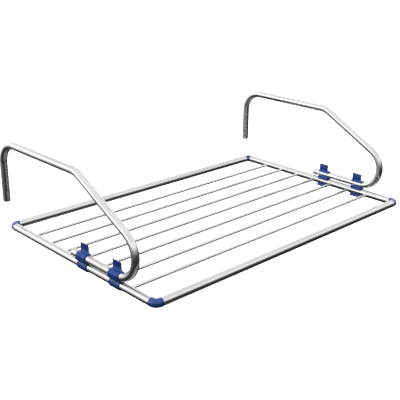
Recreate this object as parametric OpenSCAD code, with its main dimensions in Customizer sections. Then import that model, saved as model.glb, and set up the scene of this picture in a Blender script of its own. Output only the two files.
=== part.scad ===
// Hook-over drying rack: a flat rectangular tube frame with seven thin rods across it, and
// two bent tube arms that stand on the side rails in snap-on double clips. The arms hook over
// a wall, railing or radiator, slide along the side rails for reach and fold flat for storage.
// Millimetres, +Z up, +Y towards the wall, -Y towards the room, +X to the right.
// Origin: midway between the two arms, under their straight top runs and against the front
// faces of their hanging legs, where the top back edge of the wall sits.

/* [Frame] */
// Distance between the centre lines of the two side rails
frame_w = 704; // [500:2:900]
// Distance between the centre lines of the front and back rails
frame_d = 451.5; // [430:0.5:560]
// Outside diameter of the frame's four rails
tube_d = 16; // [15:0.5:16]
// Wall thickness of every tube
tube_wall = 0.8; // [0.6:0.1:1.2]

/* [Rods] */
// Diameter of a drying rod
rod_d = 6; // [4:0.5:6.5]
// Distance from one rod to the next
rod_pitch = 50.7; // [46:0.1:52]
// How far the row of rods stands in front of the frame's middle
rod_forward = 2; // [0:0.5:4]

/* [Corner elbows] */
// Radius of the elbow's centre line
elbow_bend_r = 9.5; // [8.5:0.5:10]
// How far an elbow reaches from the corner of the centre lines
elbow_reach = 12; // [12:0.5:20]
// Outside diameter of the elbow's rounded body
elbow_d = 16.4; // [16.2:0.1:16.6]

/* [Arms] */
// Outside diameter of the two bent arms
arm_d = 15; // [14.5:0.5:16]
// Height of the foot run's centre line above the rail's centre line
foot_rise = 17.2; // [17.2:0.1:19]
// How far outboard of the side rail the arm stands
arm_offset = 2; // [0:0.5:2]
// Length of the straight foot run held in the clips
foot_len = 134; // [128:0.5:160]
// Rear end of the foot run, behind the middle of the frame
foot_rear_y = 2.7; // [0:0.1:20]
// Centre-line radius of every bend in the arm
bend_r = 46; // [40:1:50]
// Slope of the rising run above the horizontal
rake_angle = 28; // [20:1:35]
// Height of the top run's centre line above the foot run's
arm_rise = 159.5; // [130:0.5:180]
// Length of the straight top run
top_len = 198.5; // [150:0.5:240]
// Length of the hanging leg below its bend, with its end plug
leg_len = 80; // [40:1:90]

/* [Clips] */
// Length of a clip along the rail
clip_len = 27; // [26:0.5:27]
// Middle of the front clips, measured from the middle of the frame
front_clip_y = -123.2; // [-123.2:0.1:-110]
// Middle of the rear clips, measured from the middle of the frame
rear_clip_y = -27.4; // [-40:0.1:-20]
// Width of the thumb tab at its top edge
tab_w = 24.8; // [22:0.1:25]
// Height of the thumb tab's top edge above the foot run's centre line
tab_top = 25.2; // [21:0.1:28]

/* [Hidden] */
$fn = 96;
rod_count = 7;
tube_r = tube_d / 2;
bore_r = tube_r - tube_wall;
arm_r = arm_d / 2;
arm_bore_r = arm_r - tube_wall;
rail_x = frame_w / 2;
rail_y = frame_d / 2;
arm_x = rail_x + arm_offset;
rod_r = rod_d / 2;
rod_slip = 0.05;
rod_end_gap = 2.2;
rod_half = rail_x - bore_r + rod_end_gap;
hole_lead = 1;
hole_depth = 4;
spigot_slip = 0.05;
spigot_r = bore_r - spigot_slip;
spigot_len = 22;
spigot_tip = 2;
spigot_tip_r = spigot_r - 1.2;
groove_depth = 0.5;
groove_w = 1.6;
groove_step = 5;
groove_count = 3;
collar_grow = 0.2;
collar_w = 1.2;
plug_head = 2;
plug_head_r = arm_r - 0.1;
plug_rim = 0.5;
plug_stem = 12;
plug_stem_r = arm_bore_r - spigot_slip;
plug_lead = 1.5;
plug_lead_r = plug_stem_r - 0.6;
plug_dish_r = 5.2;
plug_dish_depth = 0.6;
// A bend's wall is a little thinner than a run's and laps into the run at each end, in degrees.
bend_thin = 0.03;
bend_lap = 0.06;
// The arm's path, as points in the Y-Z plane and headings above +Y.
foot_heading = 180;
leg_heading = -90;
rise_len = (arm_rise - 2 * bend_r) / sin(rake_angle);
foot_rear = [foot_rear_y, foot_rise];
foot_front = foot_rear - [foot_len, 0];
rise_start = after_bend(foot_front, foot_heading, foot_heading - rake_angle);
rise_end = rise_start + rise_len * along(rake_angle);
top_start = after_bend(rise_end, rake_angle, rake_angle);
top_end = top_start + [top_len, 0];
leg_top = after_bend(top_end, 0, -leg_heading);
leg_tube = leg_len - plug_head;
leg_end = leg_top - [0, leg_tube];
// The hook's corner: underside of the top run, front face of the leg.
seat_y = leg_top[0] - arm_r;
seat_z = foot_rise + arm_rise - arm_r;
// The clip's cross-section: X outboard and Z up from the rail's centre.
foot_at = [arm_offset, foot_rise];
clip_slip = 0.05;
rail_jaw_r = tube_r + clip_slip;
arm_jaw_r = arm_r + clip_slip;
jaw_shell = 1.9;
roof_shell = 1.3;
// Each end of the upper bore opens a little, so that the arm's bend can start inside it.
lead_len = 4;
lead_grow = 0.4;
rail_jaw_out = rail_jaw_r + jaw_shell;
arm_jaw_out = arm_jaw_r + jaw_shell;
arm_jaw_top = arm_jaw_r + roof_shell;
// Outline round the foot run, from its centre: outboard wall, shoulder, flat top, inboard lip.
wall_foot = [arm_jaw_out - 1.2, -7.2];
wall_low = [arm_jaw_out, -5.2];
crease = [arm_jaw_out, 4];
shoulder = [4.4, arm_jaw_top];
lip_top = [-5.4, arm_jaw_top];
lip_out = [-8.2, 6.4];
lip_low = [-8.8, 4];
throat = [-7.2, -8.4];
heel = [0, -9.4];
// Beak under the rail that leads it into the lower mouth.
beak = [[-4.8, -6], [-7.4, -7], [-9.2, -9.4], [-8.8, -11.8], [-6.4, -12.6], [-1, -10.1]];
// Web between the two jaws.
web = [[7, 2], [7, 14], [-4.4, 14], [-6.2, 12.6], [-6.8, 8], [-6.2, 5], [-4.4, 4]];
upper_mouth = [143, 204];
lower_mouth = [145, 216];
mouth_reach = 24;
mouth_bulge = 1.1;
tab_x = -3.3;
tab_t = 2.2;
tab_back = 1.4;
tab_base = arm_jaw_r + 0.5;
tab_skirt = 2.2;
tab_corner_r = 1.5;
waist_half = 11.6;
notch_r = 5;
notch_up = 13.5;

// A unit step along a heading, and the end of a downward-curling bend.
function along(h) = [cos(h), sin(h)];
function right_of(h) = [sin(h), -cos(h)];
function after_bend(p, h, turn) = p + bend_r * (right_of(h) - right_of(h - turn));

// From the middle of the frame at rail height to the hook's corner.
module seated() {
    translate([0, -seat_y, -seat_z])
        children();
}

// side is -1 for left and 1 for right.
module at_side(side) {
    seated()
        scale_x(side)
            children();
}

module scale_x(side) {
    if (side < 0)
        mirror([1, 0, 0])
            children();
    else
        children();
}

// thin is what a bend's wall loses on each side.
module ring_face(outer, thin = 0) {
    difference() {
        circle(r = outer - thin);
        circle(r = outer - tube_wall + thin);
    }
}

module tube(outer, length) {
    linear_extrude(height = length)
        ring_face(outer);
}

// ---- Frame ----

module long_rail(y) {
    length = frame_w - 2 * elbow_reach;
    color("Silver")
        seated()
            translate([-length / 2, y, 0])
                rotate([0, 90, 0])
                    tube(tube_r, length);
}

module rod_holes() {
    for (i = [0 : rod_count - 1])
        translate([rail_x - tube_r - hole_lead, rod_y(i), 0])
            rotate([0, 90, 0])
                cylinder(r = rod_r + rod_slip, h = hole_depth);
}

function rod_y(i) = (i - (rod_count - 1) / 2) * rod_pitch - rod_forward;

module side_rail(side) {
    length = frame_d - 2 * elbow_reach;
    color("Silver")
        at_side(side)
            difference() {
                translate([rail_x, length / 2, 0])
                    rotate([90, 0, 0])
                        tube(tube_r, length);
                rod_holes();
            }
}

module rod(i) {
    color("Gainsboro")
        seated()
            translate([-rod_half, rod_y(i), 0])
                rotate([0, 90, 0])
                    cylinder(r = rod_r, h = 2 * rod_half);
}

// One leg of an elbow along +Z from the bend: short collar, then a grooved spigot.
module elbow_leg() {
    neck = elbow_reach - elbow_bend_r;
    cylinder(r = elbow_d / 2, h = neck - collar_w);
    translate([0, 0, neck - collar_w])
        cylinder(r = elbow_d / 2 + collar_grow, h = collar_w);
    translate([0, 0, neck])
        rotate_extrude()
            spigot_half();
}

// Half section of the spigot that the tube slides over, with shallow grip grooves.
module spigot_half() {
    difference() {
        polygon([
            [0, 0],
            [spigot_r, 0],
            [spigot_r, spigot_len - spigot_tip],
            [spigot_tip_r, spigot_len],
            [0, spigot_len]
        ]);
        for (i = [1 : groove_count])
            translate([spigot_r - groove_depth, i * groove_step - groove_w / 2])
                square([1, groove_w]);
    }
}

// side -1 left or 1 right, depth -1 front or 1 back.
module elbow(side, depth) {
    color("RoyalBlue")
        seated()
            scale_x(side)
                turn_front(depth)
                    translate([rail_x - elbow_bend_r, rail_y - elbow_bend_r, 0]) {
                        rotate_extrude(angle = 90)
                            translate([elbow_bend_r, 0])
                                circle(r = elbow_d / 2);
                        translate([elbow_bend_r, 0, 0])
                            rotate([90, 0, 0])
                                elbow_leg();
                        translate([0, elbow_bend_r, 0])
                            rotate([0, -90, 0])
                                elbow_leg();
                    }
}

module turn_front(depth) {
    if (depth < 0)
        mirror([0, 1, 0])
            children();
    else
        children();
}

// ---- Arms ----

// A straight run from a point in the Y-Z plane along a heading.
module run(from, heading, length) {
    translate([0, from[0], from[1]])
        rotate([heading - 90, 0, 0])
            tube(arm_r, length);
}

// A bend that starts at a point on a heading and curls clockwise by turn.
module bend(from, heading, turn) {
    centre = from + bend_r * right_of(heading);
    translate([0, centre[0], centre[1]])
        rotate([90, 0, 90])
            rotate([0, 0, heading - turn + 90 - bend_lap])
                rotate_extrude(angle = turn + 2 * bend_lap)
                    translate([bend_r, 0])
                        ring_face(arm_r, bend_thin);
}

module arm(side) {
    color("Silver")
        at_side(side)
            translate([arm_x, 0, 0]) {
                run(foot_rear, foot_heading, foot_len);
                bend(foot_front, foot_heading, foot_heading - rake_angle);
                run(rise_start, rake_angle, rise_len);
                bend(rise_end, rake_angle, rake_angle);
                run(top_start, 0, top_len);
                bend(top_end, 0, -leg_heading);
                run(leg_top, leg_heading, leg_tube);
            }
}

// End plug along +Z: stem inside the tube below 0, rounded head above it with a dished face.
module plug() {
    rotate_extrude()
        polygon([
            [0, -plug_stem],
            [plug_lead_r, -plug_stem],
            [plug_stem_r, plug_lead - plug_stem],
            [plug_stem_r, 0],
            [plug_head_r, 0],
            [plug_head_r, plug_head - plug_rim],
            [plug_head_r - plug_rim, plug_head],
            [plug_dish_r + plug_dish_depth, plug_head],
            [plug_dish_r, plug_head - plug_dish_depth],
            [0, plug_head - plug_dish_depth]
        ]);
}

module hook_plug(side) {
    color("DimGray")
        at_side(side)
            translate([arm_x, leg_end[0], leg_end[1]])
                rotate([180, 0, 0])
                    plug();
}

module foot_plug(side) {
    color("DimGray")
        at_side(side)
            translate([arm_x, foot_rear[0], foot_rear[1]])
                rotate([-90, 0, 0])
                    plug();
}

// ---- Clips ----

// A wedge that opens a bore inboard, between two headings measured in the section.
module mouth(at, headings) {
    middle = (headings[0] + headings[1]) / 2;
    translate(at)
        polygon([
            [0, 0],
            mouth_reach * along(headings[0]),
            mouth_reach * mouth_bulge * along(middle),
            mouth_reach * along(headings[1])
        ]);
}

module upper_shell() {
    translate(foot_at)
        polygon([wall_foot, wall_low, crease, shoulder, lip_top, lip_out, lip_low, throat, heel]);
}

module lower_shell() {
    circle(r = rail_jaw_out);
    polygon(beak);
}

module clip_section() {
    difference() {
        union() {
            upper_shell();
            lower_shell();
            polygon(web);
        }
        circle(r = rail_jaw_r);
        translate(foot_at)
            circle(r = arm_jaw_r);
        mouth(foot_at, upper_mouth);
        mouth([0, 0], lower_mouth);
    }
}

// Cone that opens the upper bore at the clip's rear end (1) or front end (-1).
module bore_lead(end) {
    translate([foot_at[0], end * clip_len / 2, foot_at[1]])
        rotate([end * 90, 0, 0])
            cylinder(r1 = arm_jaw_r + lead_grow, r2 = arm_jaw_r, h = lead_len);
}

// Outline along the rail and up: a skirt as long as the clip, and the tab set a little to the rear.
module rounded_tab_outline() {
    top_half = tab_w / 2;
    rise = tab_top - tab_base;
    translate([-clip_len / 2, tab_base])
        square([clip_len, tab_skirt]);
    translate([tab_back - top_half, tab_base])
        square([tab_w, rise - tab_corner_r]);
    translate([tab_back - top_half + tab_corner_r, tab_base])
        square([tab_w - 2 * tab_corner_r, rise]);
    for (s = [-1, 1])
        translate([tab_back + s * (top_half - tab_corner_r), tab_top - tab_corner_r])
            circle(r = tab_corner_r);
}

module tab_outline() {
    difference() {
        rounded_tab_outline();
        for (s = [-1, 1])
            translate([tab_back + s * (waist_half + notch_r), notch_up])
                circle(r = notch_r);
    }
}

module clip(side, y) {
    color("RoyalBlue")
        at_side(side)
            translate([rail_x, y, 0]) {
                difference() {
                    translate([0, clip_len / 2, 0])
                        rotate([90, 0, 0])
                            linear_extrude(height = clip_len)
                                clip_section();
                    bore_lead(1);
                    bore_lead(-1);
                }
                translate([foot_at[0] + tab_x - tab_t / 2, 0, foot_at[1]])
                    rotate([90, 0, 90])
                        linear_extrude(height = tab_t)
                            tab_outline();
            }
}

// ---- Nodes ----

module front_rail() { long_rail(-rail_y); }
module back_rail() { long_rail(rail_y); }
module left_rail() { side_rail(-1); }
module right_rail() { side_rail(1); }
module front_left_elbow() { elbow(-1, -1); }
module front_right_elbow() { elbow(1, -1); }
module back_left_elbow() { elbow(-1, 1); }
module back_right_elbow() { elbow(1, 1); }
module drying_rod_1() { rod(0); }
module drying_rod_2() { rod(1); }
module drying_rod_3() { rod(2); }
module drying_rod_4() { rod(3); }
module drying_rod_5() { rod(4); }
module drying_rod_6() { rod(5); }
module drying_rod_7() { rod(6); }
module left_arm() { arm(-1); }
module right_arm() { arm(1); }
module left_hook_plug() { hook_plug(-1); }
module right_hook_plug() { hook_plug(1); }
module left_foot_plug() { foot_plug(-1); }
module right_foot_plug() { foot_plug(1); }
module left_front_clip() { clip(-1, front_clip_y); }
module left_rear_clip() { clip(-1, rear_clip_y); }
module right_front_clip() { clip(1, front_clip_y); }
module right_rear_clip() { clip(1, rear_clip_y); }

front_rail();
back_rail();
left_rail();
right_rail();
front_left_elbow();
front_right_elbow();
back_left_elbow();
back_right_elbow();
drying_rod_1();
drying_rod_2();
drying_rod_3();
drying_rod_4();
drying_rod_5();
drying_rod_6();
drying_rod_7();
left_arm();
right_arm();
left_hook_plug();
right_hook_plug();
left_foot_plug();
right_foot_plug();
left_front_clip();
left_rear_clip();
right_front_clip();
right_rear_clip();
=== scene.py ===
import math

import bpy
import numpy as np
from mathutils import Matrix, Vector


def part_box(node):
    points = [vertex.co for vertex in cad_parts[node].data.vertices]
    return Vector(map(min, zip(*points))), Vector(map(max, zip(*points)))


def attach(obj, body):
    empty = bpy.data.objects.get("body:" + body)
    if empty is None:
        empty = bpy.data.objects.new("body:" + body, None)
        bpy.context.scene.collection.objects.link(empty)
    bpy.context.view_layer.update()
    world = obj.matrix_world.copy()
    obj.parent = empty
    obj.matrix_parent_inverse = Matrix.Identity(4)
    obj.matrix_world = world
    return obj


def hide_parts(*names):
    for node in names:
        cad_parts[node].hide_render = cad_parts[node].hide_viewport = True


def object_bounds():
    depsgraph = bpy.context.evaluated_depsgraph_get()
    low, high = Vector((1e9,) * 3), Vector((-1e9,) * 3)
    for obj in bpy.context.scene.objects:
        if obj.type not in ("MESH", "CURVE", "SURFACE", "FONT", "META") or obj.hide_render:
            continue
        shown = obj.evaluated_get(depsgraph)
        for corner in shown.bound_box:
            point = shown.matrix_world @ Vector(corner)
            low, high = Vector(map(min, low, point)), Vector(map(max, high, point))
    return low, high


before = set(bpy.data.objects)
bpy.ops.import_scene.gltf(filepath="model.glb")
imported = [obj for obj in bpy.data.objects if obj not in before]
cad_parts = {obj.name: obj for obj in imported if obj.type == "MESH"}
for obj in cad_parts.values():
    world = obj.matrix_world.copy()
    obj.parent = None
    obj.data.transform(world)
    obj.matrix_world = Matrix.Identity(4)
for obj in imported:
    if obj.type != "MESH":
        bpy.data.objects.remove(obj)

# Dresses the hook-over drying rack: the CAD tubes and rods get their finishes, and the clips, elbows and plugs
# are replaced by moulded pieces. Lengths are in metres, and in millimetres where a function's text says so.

cad_low, cad_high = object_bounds()
MM = 0.001


# ---------------------------------------------------------------- node helpers

class Nodes:
    """A node tree, emptied, with short calls for the nodes used here."""

    def __init__(self, tree):
        self.tree = tree
        self.tree.nodes.clear()

    def add(self, kind):
        return self.tree.nodes.new(kind)

    def link(self, source, target):
        self.tree.links.new(source, target)

    def feed(self, value, target):
        if isinstance(value, (int, float, tuple)):
            target.default_value = value
        else:
            self.link(value, target)

    def ramp(self, value, stops):
        node = self.add("ShaderNodeValToRGB")
        elements = node.color_ramp.elements
        elements[0].position, elements[0].color = stops[0][0], rgba(stops[0][1])
        elements[1].position, elements[1].color = stops[-1][0], rgba(stops[-1][1])
        for position, colour in stops[1:-1]:
            elements.new(position).color = rgba(colour)
        self.link(value, node.inputs["Fac"])
        return node.outputs["Color"]

    def range(self, value, low, high, to_low, to_high):
        node = self.add("ShaderNodeMapRange")
        for name, number in (("From Min", low), ("From Max", high), ("To Min", to_low), ("To Max", to_high)):
            node.inputs[name].default_value = number
        self.link(value, node.inputs["Value"])
        return node.outputs["Result"]

    def math(self, operation, a, b):
        node = self.add("ShaderNodeMath")
        node.operation = operation
        self.feed(a, node.inputs[0])
        self.feed(b, node.inputs[1])
        return node.outputs["Value"]

    def dot(self, vector, direction):
        node = self.add("ShaderNodeVectorMath")
        node.operation = "DOT_PRODUCT"
        self.link(vector, node.inputs[0])
        node.inputs[1].default_value = direction
        return node.outputs["Value"]


class Graph(Nodes):
    """A new material's node tree, with one shader and the piece's own coordinates."""

    def __init__(self, name):
        self.material = bpy.data.materials.new(name)
        self.material.use_nodes = True
        super().__init__(self.material.node_tree)
        self.shader = self.add("ShaderNodeBsdfPrincipled")
        out = self.add("ShaderNodeOutputMaterial")
        self.link(self.shader.outputs["BSDF"], out.inputs["Surface"])
        self.place = self.add("ShaderNodeTexCoord").outputs["Object"]

    def stretched(self, scale):
        node = self.add("ShaderNodeMapping")
        node.inputs["Scale"].default_value = scale
        self.link(self.place, node.inputs["Vector"])
        return node.outputs["Vector"]

    def noise(self, scale, detail=3.0, rough=0.55, where=None):
        node = self.add("ShaderNodeTexNoise")
        node.inputs["Scale"].default_value = scale
        node.inputs["Detail"].default_value = detail
        node.inputs["Roughness"].default_value = rough
        self.link(where or self.place, node.inputs["Vector"])
        return node.outputs["Fac"]

    def mix(self, factor, a, b):
        node = self.add("ShaderNodeMix")
        node.data_type = "RGBA"
        self.feed(factor, node.inputs["Factor"])
        self.feed(rgba(a) if isinstance(a, tuple) else a, node.inputs[6])
        self.feed(rgba(b) if isinstance(b, tuple) else b, node.inputs[7])
        return node.outputs[2]

    def bump(self, height, strength, distance, under=None):
        node = self.add("ShaderNodeBump")
        node.inputs["Strength"].default_value = strength
        node.inputs["Distance"].default_value = distance
        self.link(height, node.inputs["Height"])
        if under is not None:
            self.link(under, node.inputs["Normal"])
        return node.outputs["Normal"]

    def edges(self):
        """Bright on outer edges, about a half on flats: from the mesh's own pointiness."""
        return self.add("ShaderNodeNewGeometry").outputs["Pointiness"]

    def set(self, **values):
        """Number or link for each shader input, with _ for the spaces in its name."""
        for name, value in values.items():
            self.feed(value, self.shader.inputs[name.replace("_", " ")])


def rgba(c):
    return (*c, 1.0)


# ---------------------------------------------------------------- materials

FINE_BUMP = 0.00003
DULL_METAL = (0.60, 0.60, 0.59)


def tube_material(name, drawn, rough_range, line_depth):
    """Satin silver lacquer on steel tube: faint drawn lines, orange peel, clouds of gloss and scuffs.

    drawn is the lines' noise scale on each axis: small along a straight tube, so that they run that way, and the
    same on every axis for a bent one.
    """
    g = Graph(name)
    lines = g.noise(1.0, 4.0, 0.6, g.stretched(drawn))
    clouds = g.noise(9.0, 3.0)
    peel = g.noise(900.0, 2.0)
    scuffed = g.range(g.noise(55.0, 6.0, 0.7), 0.62, 0.76, 0.0, 1.0)
    tone = g.ramp(clouds, [(0.25, (0.70, 0.70, 0.685)), (0.55, (0.78, 0.78, 0.765)), (0.8, (0.83, 0.83, 0.82))])
    tone = g.mix(g.range(lines, 0.3, 0.7, 0.0, 0.10), tone, DULL_METAL)
    tone = g.mix(g.math("MULTIPLY", scuffed, 0.18), tone, DULL_METAL)
    rough = g.range(clouds, 0.2, 0.8, *rough_range)
    rough = g.math("ADD", rough, g.range(lines, 0.3, 0.7, -0.01, 0.03))
    rough = g.math("ADD", rough, g.math("MULTIPLY", scuffed, 0.10))
    fine = g.bump(peel, 0.06, FINE_BUMP)
    g.set(Base_Color=tone, Metallic=0.95, Roughness=rough, Normal=g.bump(lines, line_depth, FINE_BUMP, fine))
    return g.material


def rod_material():
    """Bright drawn wire rod with fine die lines along it and slightly duller, greyer stretches."""
    g = Graph("drawn_rod")
    lines = g.noise(1.0, 3.0, 0.6, g.stretched((5.0, 2400.0, 2400.0)))
    patches = g.noise(14.0, 4.0)
    specks = g.range(g.noise(380.0, 3.0, 0.7), 0.66, 0.74, 0.0, 1.0)
    tone = g.ramp(patches, [(0.3, (0.76, 0.76, 0.75)), (0.7, (0.88, 0.88, 0.87))])
    tone = g.mix(g.range(lines, 0.35, 0.65, 0.0, 0.12), tone, DULL_METAL)
    tone = g.mix(g.math("MULTIPLY", specks, 0.30), tone, (0.50, 0.49, 0.47))
    rough = g.math("ADD", g.range(patches, 0.2, 0.8, 0.08, 0.14), g.range(lines, 0.3, 0.7, -0.02, 0.04))
    g.set(Base_Color=tone, Metallic=1.0, Roughness=rough, Normal=g.bump(lines, 0.15, FINE_BUMP))
    return g.material


def plastic_material(name, deep, mid, pale, rough_range, coat, shine):
    """Moulded plastic: fine eroded grain, slow colour flow, a painted highlight that makes the outer edges paler,
    and a few hairline scuffs.
    """
    g = Graph(name)
    flow = g.noise(45.0, 3.0)
    grain = g.noise(2600.0, 2.0)
    dimple = g.noise(420.0, 2.0)
    hair = g.range(g.noise(1.0, 5.0, 0.7, g.stretched((160.0, 45.0, 900.0))), 0.62, 0.70, 0.0, 1.0)
    # Painted highlight: the convex edges, found from the mesh's pointiness, are mixed towards the pale colour.
    painted_edge_highlight = g.range(g.edges(), 0.56, 0.68, 0.0, 1.0)
    tone = g.ramp(flow, [(0.3, deep), (0.7, mid)])
    tone = g.mix(g.math("MULTIPLY", painted_edge_highlight, 0.45), tone, pale)
    tone = g.mix(g.math("MULTIPLY", hair, 0.18), tone, pale)
    rough = g.range(flow, 0.25, 0.75, *rough_range)
    rough = g.math("ADD", rough, g.range(grain, 0.3, 0.7, -0.02, 0.05))
    rough = g.math("ADD", rough, g.math("MULTIPLY", hair, 0.12))
    low = g.bump(dimple, 0.10, 0.00008)
    g.set(Base_Color=tone, Roughness=rough, Normal=g.bump(grain, 0.14, FINE_BUMP, low), IOR=1.46,
          Specular_IOR_Level=shine, Coat_Weight=coat, Coat_Roughness=0.09)
    return g.material


def floor_material():
    """Pale, dull paper that glows a little, so the floor reads as white whatever stands on it."""
    g = Graph("pale_floor")
    tone = g.ramp(g.noise(0.8, 2.0), [(0.3, (0.90, 0.90, 0.90)), (0.7, (0.93, 0.93, 0.93))])
    g.set(Base_Color=tone, Roughness=0.9, Specular_IOR_Level=0.1, Emission_Color=(1.0, 1.0, 1.0, 1.0),
          Emission_Strength=0.75)
    return g.material


STRAIGHT_ROUGH, STRAIGHT_LINES = (0.09, 0.13), 0.10
BENT_ROUGH, BENT_LINES = (0.17, 0.20), 0.02
PALE_BLUE = (0.05, 0.16, 0.48)
TUBE_X = tube_material("satin_tube_x", (6.0, 700.0, 700.0), STRAIGHT_ROUGH, STRAIGHT_LINES)
TUBE_Y = tube_material("satin_tube_y", (700.0, 6.0, 700.0), STRAIGHT_ROUGH, STRAIGHT_LINES)
TUBE_BENT = tube_material("satin_tube_bent", (1400.0, 1400.0, 1400.0), BENT_ROUGH, BENT_LINES)
ROD = rod_material()
CLIP_BLUE = plastic_material("clip_plastic", (0.005, 0.036, 0.185), (0.007, 0.045, 0.23), PALE_BLUE,
                             (0.11, 0.18), coat=0.15, shine=0.4)
ELBOW_BLUE = plastic_material("elbow_plastic", (0.004, 0.032, 0.165), (0.006, 0.040, 0.21), PALE_BLUE,
                              (0.09, 0.15), coat=0.4, shine=0.5)
GREY = plastic_material("grey_plastic", (0.20, 0.20, 0.205), (0.27, 0.27, 0.27), (0.45, 0.45, 0.45),
                        (0.42, 0.55), coat=0.0, shine=0.4)


# ---------------------------------------------------------------- mesh helpers

SHARP_ANGLE = math.radians(50)


def add_piece(name, verts, faces, material, body, replaced):
    """One visible piece in metres, which rides on a body and stands in for a CAD node, which it hides."""
    mesh = bpy.data.meshes.new(name)
    mesh.from_pydata([tuple(v) for v in verts], [], [tuple(int(i) for i in f) for f in faces])
    mesh.validate()
    mesh.update()
    mesh.shade_smooth()
    mesh.set_sharp_from_angle(angle=SHARP_ANGLE)
    mesh.materials.append(material)
    piece = bpy.data.objects.new(name, mesh)
    bpy.context.scene.collection.objects.link(piece)
    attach(piece, body)
    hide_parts(replaced)
    return piece


def middle(node):
    """The centre of a CAD node's box."""
    low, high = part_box(node)
    return (Vector(low) + Vector(high)) / 2


def rings_mesh(rings):
    """Closed skin over a row of equal rings of points, with a fan cap on each end."""
    count = len(rings[0])
    verts = [p for ring in rings for p in ring]
    faces = []
    for r in range(len(rings) - 1):
        for i in range(count):
            j = (i + 1) % count
            faces.append((r * count + i, r * count + j, (r + 1) * count + j, (r + 1) * count + i))
    for ring_start, flip in ((0, True), ((len(rings) - 1) * count, False)):
        centre = sum((Vector(verts[ring_start + i]) for i in range(count)), Vector()) / count
        verts.append(tuple(centre))
        hub = len(verts) - 1
        for i in range(count):
            j = (i + 1) % count
            tri = (ring_start + i, ring_start + j, hub)
            faces.append(tri[::-1] if flip else tri)
    return verts, faces


# ---------------------------------------------------------------- solid fields, in millimetres

def segment_distance(px, pz, a, b):
    """Distance from each point to the straight line between a and b."""
    ex, ez = b[0] - a[0], b[1] - a[1]
    t = np.clip(((px - a[0]) * ex + (pz - a[1]) * ez) / (ex * ex + ez * ez), 0, 1)
    return np.hypot(px - a[0] - t * ex, pz - a[1] - t * ez)


def polygon_field(px, pz, points):
    """Signed distance to a polygon, negative inside."""
    distance = np.full(px.shape, 1e9)
    inside = np.zeros(px.shape, bool)
    for i in range(len(points)):
        a, b = points[i - 1], points[i]
        distance = np.minimum(distance, segment_distance(px, pz, a, b))
        if a[1] != b[1]:
            crosses = (a[1] > pz) != (b[1] > pz)
            inside ^= crosses & (px < (b[0] - a[0]) * (pz - a[1]) / (b[1] - a[1]) + a[0])
    return np.where(inside, -distance, distance)


def circle_field(px, pz, centre, radius):
    return np.hypot(px - centre[0], pz - centre[1]) - radius


def smooth_union(a, b, k):
    """Union of two fields with a fillet about k wide where they meet."""
    h = np.clip(0.5 + 0.5 * (b - a) / k, 0, 1)
    return b * (1 - h) + a * h - k * h * (1 - h)


def blurred(field, sigma):
    """Gaussian blur, sigma in grid steps: it rounds every edge and fills every inner corner a little."""
    reach = int(math.ceil(3 * sigma))
    weights = np.exp(-0.5 * (np.arange(-reach, reach + 1) / sigma) ** 2)
    weights /= weights.sum()
    for axis in range(3):
        padded = np.pad(field, [(reach, reach) if a == axis else (0, 0) for a in range(3)], mode="edge")
        total = np.zeros_like(field)
        for k, w in enumerate(weights):
            cut = [slice(None)] * 3
            cut[axis] = slice(k, k + field.shape[axis])
            total += w * padded[tuple(cut)]
        field = total
    return field


def surface_net(field, origin, step):
    """Quads over the zero level of a sampled solid, with each point at the mean of its cell's crossings."""
    sign = field < 0
    shape = tuple(n - 1 for n in field.shape)
    total, count = np.zeros(shape + (3,)), np.zeros(shape)
    corners = [(a, b, c) for a in (0, 1) for b in (0, 1) for c in (0, 1)]

    def at(grid, corner):
        return grid[tuple(slice(c, c + n) for c, n in zip(corner, shape))]

    for c0 in corners:
        for axis in range(3):
            if c0[axis]:
                continue
            c1 = tuple(1 if a == axis else c0[a] for a in range(3))
            v0, v1 = at(field, c0), at(field, c1)
            cross = at(sign, c0) != at(sign, c1)
            t = np.where(cross, v0 / np.where(cross, v0 - v1, 1), 0)
            for a in range(3):
                total[..., a] += np.where(cross, c0[a] + (t if a == axis else 0), 0)
            count += cross
    used = count > 0
    index = np.full(shape, -1)
    index[used] = np.arange(used.sum())
    verts = (np.argwhere(used) + total[used] / count[used][:, None]) * step + np.array(origin)
    faces = []
    for axis in range(3):
        u, v = (axis + 1) % 3, (axis + 2) % 3
        low = [slice(None)] * 3
        high = [slice(None)] * 3
        low[axis], high[axis] = slice(0, -1), slice(1, None)
        for a in (u, v):
            low[a] = high[a] = slice(1, -1)
        s0, s1 = sign[tuple(low)], sign[tuple(high)]
        where = np.argwhere(s0 != s1)
        outward = s0[s0 != s1]
        where[:, u] += 1
        where[:, v] += 1
        quad = []
        for du, dv in ((-1, -1), (0, -1), (0, 0), (-1, 0)):
            cell = where.copy()
            cell[:, u] += du
            cell[:, v] += dv
            quad.append(index[tuple(cell.T)])
        quad = np.stack(quad, 1)
        quad[~outward] = quad[~outward][:, ::-1]
        faces.append(quad)
    return verts, np.concatenate(faces)


# ---------------------------------------------------------------- double clips

RAIL = middle("right_rail")
FOOT = middle("right_foot_plug")
CLIP_LENGTH = (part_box("right_front_clip")[1][1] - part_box("right_front_clip")[0][1]) / MM
TUBE_R = (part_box("right_rail")[1][2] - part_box("right_rail")[0][2]) / 2 / MM
ARM_R = (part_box("right_arm")[1][0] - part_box("right_arm")[0][0]) / 2 / MM
FOOT_X = (FOOT.x - RAIL.x) / MM
FOOT_Z = (FOOT.z - RAIL.z) / MM

# The jaws, in millimetres: slack round each tube, and how far the jaws' and the roof's outsides stand off it. The
# mouths are angles round each bore, in degrees up from outboard.
JAW_GAP = 0.18
JAW_OUT = 1.95
ROOF_OUT = 1.35
UPPER_MOUTH = (143, 204)
LOWER_MOUTH = (145, 216)
WEB_FILLET = 0.8

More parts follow.
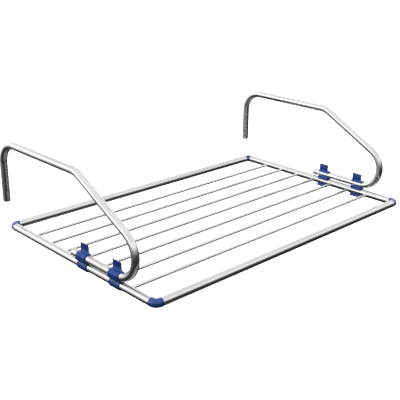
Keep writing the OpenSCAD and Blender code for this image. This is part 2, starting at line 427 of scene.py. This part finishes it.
# The thumb tab, in millimetres: where it starts above the arm's tube and ends above the arm's centre, the height of
# its full-length skirt, how far it sits to the rear and inboard, its lean and bow, and half its thickness.
TAB_START = 0.55
TAB_TOP = 25.2
TAB_SKIRT = 2.0
TAB_BACK = 1.4
TAB_INBOARD = 3.4
TAB_LEAN = 0.02
TAB_BOW = 0.012
TAB_HALF = 1.05
TAB_ROOT_GAIN, TAB_ROOT_RISE = 0.35, 5
TAB_FILLET = 1.6

# The sampling grid's step in millimetres, and the blur that rounds the edges, in steps.
CLIP_STEP = 0.42
CLIP_ROUND = 0.85


def wedge(centre, low, high, reach=26.0, steps=4):
    """A pie slice between two angles in degrees, which cuts a jaw's mouth."""
    angles = [math.radians(low + (high - low) * k / steps) for k in range(steps + 1)]
    return [centre] + [(centre[0] + reach * math.cos(a), centre[1] + reach * math.sin(a)) for a in angles]


def clip_section(px, pz, foot):
    """Field of the two jaws' cross-section: bores round the rail (0, 0) and the arm (foot), mouths inboard."""
    wall, roof = ARM_R + JAW_OUT, ARM_R + ROOF_OUT
    upper = [(wall - 1.2, -7.2), (wall, -5.2), (wall, 4), (4.4, roof), (-5.4, roof), (-8.2, 6.4), (-8.8, 4),
             (-7.2, -8.4), (0, -9.4)]
    upper = [(x + foot[0], z + foot[1]) for x, z in upper]
    beak = [(-4.8, -6), (-7.4, -7), (-9.2, -9.4), (-8.8, -11.8), (-6.4, -12.6), (-1, -10.1)]
    web = [(7, 2), (7, 14), (-4.4, 14), (-6.2, 12.6), (-6.8, 8), (-6.2, 5), (-4.4, 4)]
    section = np.minimum(polygon_field(px, pz, upper), circle_field(px, pz, (0, 0), TUBE_R + JAW_OUT))
    section = np.minimum(section, polygon_field(px, pz, beak))
    section = smooth_union(section, polygon_field(px, pz, web), WEB_FILLET)
    hollow = np.minimum(circle_field(px, pz, (0, 0), TUBE_R + JAW_GAP),
                        circle_field(px, pz, foot, ARM_R + JAW_GAP))
    hollow = np.minimum(hollow, polygon_field(px, pz, wedge(foot, *UPPER_MOUTH)))
    hollow = np.minimum(hollow, polygon_field(px, pz, wedge((0, 0), *LOWER_MOUTH)))
    return np.maximum(section, -hollow)


def tab_field(xs, ys, zs, foot):
    """Field of the thumb tab: a waisted plate that leans and bows a little, thicker where it leaves the jaw."""
    qy, qz = np.meshgrid(ys, zs, indexing="ij")
    base, top = ARM_R + TAB_START + foot[1], TAB_TOP + foot[1]
    outline = [(-CLIP_LENGTH / 2, base), (CLIP_LENGTH / 2, base), (CLIP_LENGTH / 2, base + TAB_SKIRT)]
    flare = [(12.5, 2.6), (12.0, 3.4), (11.75, 4.8), (11.7, 6.8), (11.8, 9.2), (12.05, 11.8), (12.3, 14.2),
             (12.3, 16.1), (11.6, 17.1)]
    outline += [(TAB_BACK + y, base + z) for y, z in flare]
    outline += [(TAB_BACK - y, base + z) for y, z in flare[::-1]]
    plate = polygon_field(qy, qz, outline)
    lean = foot[0] - TAB_INBOARD + TAB_LEAN * (zs - base) - TAB_BOW * (zs - base) * (top - zs)
    thick = TAB_HALF + TAB_ROOT_GAIN * np.clip((base + TAB_ROOT_RISE - zs) / TAB_ROOT_RISE, 0, 1)
    slab = np.abs(xs[:, None] - lean[None, :]) - thick[None, :]
    return np.maximum(plate[None, :, :], slab[:, None, :])


def clip_mesh():
    """The right-hand clip in millimetres: X outboard, Y along the rail, Z up from the rail's centre."""
    margin = 2
    low = np.array([-16.0, -CLIP_LENGTH / 2 - margin, -13.0])
    high = np.array([15.0, CLIP_LENGTH / 2 + margin, 44.0])
    sizes = np.ceil((high - low) / CLIP_STEP).astype(int)
    xs, ys, zs = (low[a] + CLIP_STEP * np.arange(sizes[a]) for a in range(3))
    px, pz = np.meshgrid(xs, zs, indexing="ij")
    foot = (FOOT_X, FOOT_Z)
    jaws = np.maximum(clip_section(px, pz, foot)[:, None, :], (np.abs(ys) - CLIP_LENGTH / 2)[None, :, None])
    solid = smooth_union(jaws, tab_field(xs, ys, zs, foot), TAB_FILLET)
    return surface_net(blurred(solid, CLIP_ROUND), low, CLIP_STEP)


clip_verts, clip_faces = clip_mesh()
for side, sign in (("left", -1), ("right", 1)):
    for end in ("front", "rear"):
        node = f"{side}_{end}_clip"
        y = middle(node).y
        verts = clip_verts * MM
        verts = np.stack([sign * (verts[:, 0] + RAIL.x), verts[:, 1] + y, verts[:, 2] + RAIL.z], 1)
        faces = clip_faces if sign > 0 else clip_faces[:, ::-1]
        add_piece(f"{node}_moulding", verts, faces, CLIP_BLUE, node, node)


# ---------------------------------------------------------------- corner elbows

# In millimetres: the elbow's radius, its bend and reach along the centre lines, and the spigots inside the tubes.
ELBOW_SIDES = 64
ELBOW_R = 8.2
ELBOW_BEND = 9.5
ELBOW_REACH = 12.0
SEAM = 0.05
SPIGOT_R = 7.13
SPIGOT_LENGTH = 22.0
GROOVE_R = 6.7
GROOVE_PITCH = 5


def elbow_profile(arc):
    """(distance along the centre line, radius) from the bend's middle out to the spigot's tip, in millimetres."""
    edge = arc / 2 + (ELBOW_REACH - ELBOW_BEND)
    body = ELBOW_R
    rows = [(0, body), (arc / 2, body), (edge - 1.5, body), (edge - 1.35, body + 0.05), (edge - 1.2, body + 0.14),
            (edge - 1.0, body + 0.2), (edge - 0.35, body + 0.2), (edge - 0.15, body + 0.12), (edge - 0.04, body),
            (edge, body - 0.12), (edge, TUBE_R + 0.02), (edge + 0.01, SPIGOT_R)]
    for k in range(3):
        at = edge + GROOVE_PITCH * (k + 1)
        rows += [(at - 0.8, SPIGOT_R), (at - 0.6, GROOVE_R), (at + 0.6, GROOVE_R), (at + 0.8, SPIGOT_R)]
    tip = edge + SPIGOT_LENGTH
    rows += [(tip - 2, SPIGOT_R), (tip - 0.3, 6.3), (tip, 5.8)]
    return rows


def elbow_mesh():
    """One elbow in its own plane, in millimetres: the centre lines' corner at the origin, legs along -X and -Y."""
    bend_r = ELBOW_BEND
    arc = bend_r * math.pi / 2
    steps = elbow_profile(arc)
    mid = [(arc / 2 * k / 10, ELBOW_R) for k in range(1, 10)]
    steps = [steps[0]] + mid + steps[1:]
    rows = [(-s, r) for s, r in steps[:0:-1]] + steps
    rings = []
    for s, r in rows:
        if abs(s) <= arc / 2:
            a = math.pi / 4 - s / bend_r
            centre = Vector((-bend_r + bend_r * math.cos(a), -bend_r + bend_r * math.sin(a), 0))
            out = Vector((math.cos(a), math.sin(a), 0))
        elif s > 0:
            centre = Vector((0, -bend_r - (s - arc / 2), 0))
            out = Vector((1, 0, 0))
        else:
            centre = Vector((-bend_r - (-s - arc / 2), 0, 0))
            out = Vector((0, 1, 0))
        ring = []
        for i in range(ELBOW_SIDES):
            t = 2 * math.pi * i / ELBOW_SIDES
            seam = SEAM if r > ELBOW_R - 0.1 and i in (0, ELBOW_SIDES // 2) else 0.0
            ring.append(tuple(centre + out * (r + seam) * math.cos(t) + Vector((0, 0, (r + seam) * math.sin(t)))))
        rings.append(ring)
    return rings_mesh(rings)


elbow_verts, elbow_faces = elbow_mesh()
elbow_verts = np.array(elbow_verts) * MM
for side, sx in (("left", -1), ("right", 1)):
    for end, sy in (("front", -1), ("back", 1)):
        node = f"{end}_{side}_elbow"
        corner = Vector((RAIL.x * sx, middle(f"{end}_rail").y, RAIL.z))
        verts = elbow_verts * np.array([sx, sy, 1]) + np.array(corner)
        faces = elbow_faces if sx * sy > 0 else [f[::-1] for f in elbow_faces]
        add_piece(f"{node}_moulding", verts, faces, ELBOW_BLUE, "frame", node)


# ---------------------------------------------------------------- end plugs

PLUG_SIDES = 72
PLUG_HEAD = 2.0


def plug_mesh(direction):
    """Turned plug in metres: stem inside the tube, rounded head, dished face with a shallow ring and a gate mark."""
    head, rim = PLUG_HEAD, ARM_R - 0.1
    rows = [(-12, 5.4), (-11.6, 5.8), (-10.5, 6.6), (-0.05, 6.6), (0, 6.8), (0.02, rim - 0.25), (0.12, rim - 0.06),
            (0.35, rim), (1.2, rim), (1.5, rim - 0.1), (1.76, rim - 0.3), (1.93, rim - 0.62), (head, rim - 1.0),
            (head, 5.9), (1.9, 5.7), (1.6, 5.4), (1.42, 5.1), (1.4, 3.6), (1.5, 3.4), (1.5, 3.0), (1.4, 2.8),
            (1.4, 1.0), (1.55, 0.8), (1.62, 0.35)]
    axis = Vector(direction)
    side = axis.orthogonal().normalized()
    other = axis.cross(side)
    angles = [2 * math.pi * i / PLUG_SIDES for i in range(PLUG_SIDES)]
    rings = []
    for h, r in rows:
        rings.append([tuple((axis * h + side * r * math.cos(t) + other * r * math.sin(t)) * MM) for t in angles])
    return rings_mesh(rings)


for side in ("left", "right"):
    for node, direction in ((f"{side}_hook_plug", (0, 0, -1)), (f"{side}_foot_plug", (0, 1, 0))):
        low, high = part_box(node)
        seat = middle(node)
        if direction[2] < 0:
            seat.z = low[2] + PLUG_HEAD * MM
        else:
            seat.y = high[1] - PLUG_HEAD * MM
        verts, faces = plug_mesh(direction)
        verts = [tuple(Vector(v) + seat) for v in verts]
        add_piece(f"{node}_cap", verts, faces, GREY, f"{side}_arm", node)


# ---------------------------------------------------------------- carried-over tubes and rods

ROD_COUNT = 7


def finish_node(node, material):
    """Give a CAD solid that is kept as it is its finish."""
    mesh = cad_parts[node].data
    mesh.materials.clear()
    mesh.materials.append(material)


finish_node("front_rail", TUBE_X)
finish_node("back_rail", TUBE_X)
for side in ("left", "right"):
    finish_node(f"{side}_rail", TUBE_Y)
    finish_node(f"{side}_arm", TUBE_BENT)
for i in range(ROD_COUNT):
    finish_node(f"drying_rod_{i + 1}", ROD)


# ---------------------------------------------------------------- floor, light and camera

FLOOR_DROP = 0.55

# The tent's brightness goes by height along TENT_LEAN, from -TENT_SPAN to TENT_SPAN: (height, level) pairs, chosen
# to put the tubes' light and dark bands where the photograph has them.
# Straight behind the rack, along TENT_BACK, the height counts as BACKDROP_HEIGHT or more. That lift comes in
# while the cosine of the angle from TENT_BACK goes through BACKDROP_EDGE.
TENT_SPAN = 1.2
TENT_STRENGTH = 1.3
TENT_LEAN = (-0.06, 0.21, 1.0)
TENT_BACK = (0.69, 0.724, 0.0)
BACKDROP_EDGE = (0.86, 0.95)
BACKDROP_HEIGHT = 0.1
TENT_LEVELS = [(-1.2, 0.22), (-0.88, 0.13), (-0.73, 0.0), (-0.42, 0.01), (-0.3, 0.05), (-0.2, 0.12), (-0.1, 0.26),
               (0.0, 0.48), (0.12, 0.84), (0.26, 1.16), (0.40, 1.10), (0.55, 0.88), (0.75, 0.83), (0.9, 0.97),
               (1.2, 1.0)]

LIGHT_TARGET = (0, -0.25, -0.15)

# The viewpoint, from fitting a perspective camera to the frame's four sides.
CAMERA_PLACE = (-1.0314, -1.2725, 0.4106)
CAMERA_DEGREES = (69.434, -0.558, -43.445)
CAMERA_LENS = 65.77


def add_floor():
    """A round pale floor that curves up into a wall all round, so every view ends on it."""
    mesh = bpy.data.meshes.new("floor")
    reach, cove, wall, sides, arc_steps = 30.0, 12.0, 30.0, 96, 10
    drop = cad_low.z - FLOOR_DROP
    profile = [(reach * k / 4, 0.0) for k in range(1, 5)]
    for k in range(1, arc_steps + 1):
        a = math.pi / 2 * k / arc_steps
        profile.append((reach + cove * math.sin(a), cove * (1 - math.cos(a))))
    profile.append((reach + cove, cove + wall))
    verts = [(0.0, 0.0, drop)]
    for r, h in profile:
        for i in range(sides):
            a = 2 * math.pi * i / sides
            verts.append((r * math.cos(a), r * math.sin(a), drop + h))
    faces = [(0, 1 + i, 1 + (i + 1) % sides) for i in range(sides)]
    for ring in range(len(profile) - 1):
        start = 1 + ring * sides
        for i in range(sides):
            j = (i + 1) % sides
            faces.append((start + i, start + sides + i, start + sides + j, start + j))
    mesh.from_pydata(verts, [], faces)
    mesh.shade_smooth()
    mesh.materials.append(floor_material())
    floor = bpy.data.objects.new("floor", mesh)
    bpy.context.scene.collection.objects.link(floor)
    floor.visible_glossy = False
    floor.visible_diffuse = False
    floor.visible_shadow = False


def add_world():
    """A studio tent, bright above and behind and dark below and in front, with a bright backdrop."""
    world = bpy.data.worlds.new("studio")
    world.use_nodes = True
    nodes = Nodes(world.node_tree)
    out = nodes.add("ShaderNodeOutputWorld")
    background = nodes.add("ShaderNodeBackground")
    way = nodes.add("ShaderNodeTexCoord").outputs["Generated"]
    backdrop = nodes.range(nodes.dot(way, TENT_BACK), *BACKDROP_EDGE, -TENT_SPAN, BACKDROP_HEIGHT)
    height = nodes.math("MAXIMUM", nodes.dot(way, TENT_LEAN), backdrop)
    height = nodes.range(height, -TENT_SPAN, TENT_SPAN, 0.0, 1.0)
    tone = nodes.ramp(height, [tent_stop(*stop) for stop in TENT_LEVELS])
    nodes.link(tone, background.inputs["Color"])
    background.inputs["Strength"].default_value = TENT_STRENGTH
    nodes.link(background.outputs["Background"], out.inputs["Surface"])
    bpy.context.scene.world = world


def tent_stop(height, level):
    """A ramp stop, with its level divided by the strength so that it stays below 1."""
    return (height + TENT_SPAN) / (2 * TENT_SPAN), (level / TENT_STRENGTH,) * 3


def add_softbox(name, place, size, power, shiny=True):
    """A rectangular light aimed at the rack; one that isn't shiny shows in no reflection."""
    lamp = bpy.data.lights.new(name, "AREA")
    lamp.shape = "RECTANGLE"
    lamp.size, lamp.size_y = size
    lamp.energy = power
    light = bpy.data.objects.new(name, lamp)
    bpy.context.scene.collection.objects.link(light)
    light.location = place
    light.visible_glossy = shiny
    light.rotation_mode = "QUATERNION"
    light.rotation_quaternion = (Vector(LIGHT_TARGET) - Vector(place)).to_track_quat("-Z", "Y")


def add_camera():
    """The photograph's viewpoint."""
    camera = bpy.data.objects.new("camera", bpy.data.cameras.new("camera"))
    bpy.context.scene.collection.objects.link(camera)
    camera.data.sensor_width = 36.0
    camera.data.lens = CAMERA_LENS
    camera.location = CAMERA_PLACE
    camera.rotation_euler = tuple(math.radians(a) for a in CAMERA_DEGREES)
    camera.data.clip_end = 200.0
    bpy.context.scene.camera = camera


add_floor()
add_world()
add_softbox("key", (-2.15, 1.55, 0.93), (4.2, 0.6), 20.0)
add_softbox("overhead", (-0.2, -0.1, 2.2), (1.6, 1.6), 58.0, shiny=False)
add_camera()
bpy.context.scene.view_settings.view_transform = "Standard"
